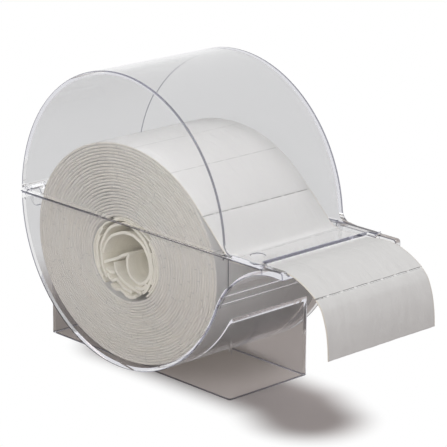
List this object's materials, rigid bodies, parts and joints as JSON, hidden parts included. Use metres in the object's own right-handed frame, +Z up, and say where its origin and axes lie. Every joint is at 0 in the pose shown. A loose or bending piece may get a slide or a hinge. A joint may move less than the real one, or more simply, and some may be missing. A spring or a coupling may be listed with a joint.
{
  "type": "nail wipe dispenser",
  "caption": "Clear plastic countertop dispenser: a hinged half-drum lid over a cradle on an open stand, holding a soft roll of perforated wipes that feeds out over a lip and hangs ready to tear.",
  "frame": {"origin": "middle of the footprint, on the table that the stand's rim rests on", "axes": "+X from the hinge at the back to the mouth at the front, +Y along the drum, +Z up"},
  "size_m": [0.3082, 0.1144, 0.2142],
  "materials": {
    "clear_plastic": "clear, polished, injection moulded",
    "wipe": "soft white cellulose, matt, perforated in rows",
    "wipe_core": "soft cream-white cellulose, matt, crumpled"
  },
  "bodies": {
    "base": {"base": "clear_plastic", "hinge_pin_left": "clear_plastic", "hinge_pin_right": "clear_plastic", "roll_turns": "wipe", "web_run": "wipe"},
    "lid": {"lid": "clear_plastic"},
    "core": {"roll_core": "wipe_core"},
    "front_wipe": {"front_wipe": "wipe"}
  },
  "joints": [
    {"name": "lid_hinge", "type": "hinge", "parent": "base", "child": "lid", "pos_m": [-0.15109, 0, 0.10905], "axis": [0, -1, 0], "range_deg": [0, 110]},
    {"name": "roll_turn", "type": "hinge", "parent": "base", "child": "core", "pos_m": [-0.04199, 0, 0.08037], "axis": [0, 1, 0], "continuous": true},
    {"name": "wipe_tear", "type": "slide", "parent": "base", "child": "front_wipe", "axis": [1, 0, 0], "range_m": [0, 0.08]}
  ]
}
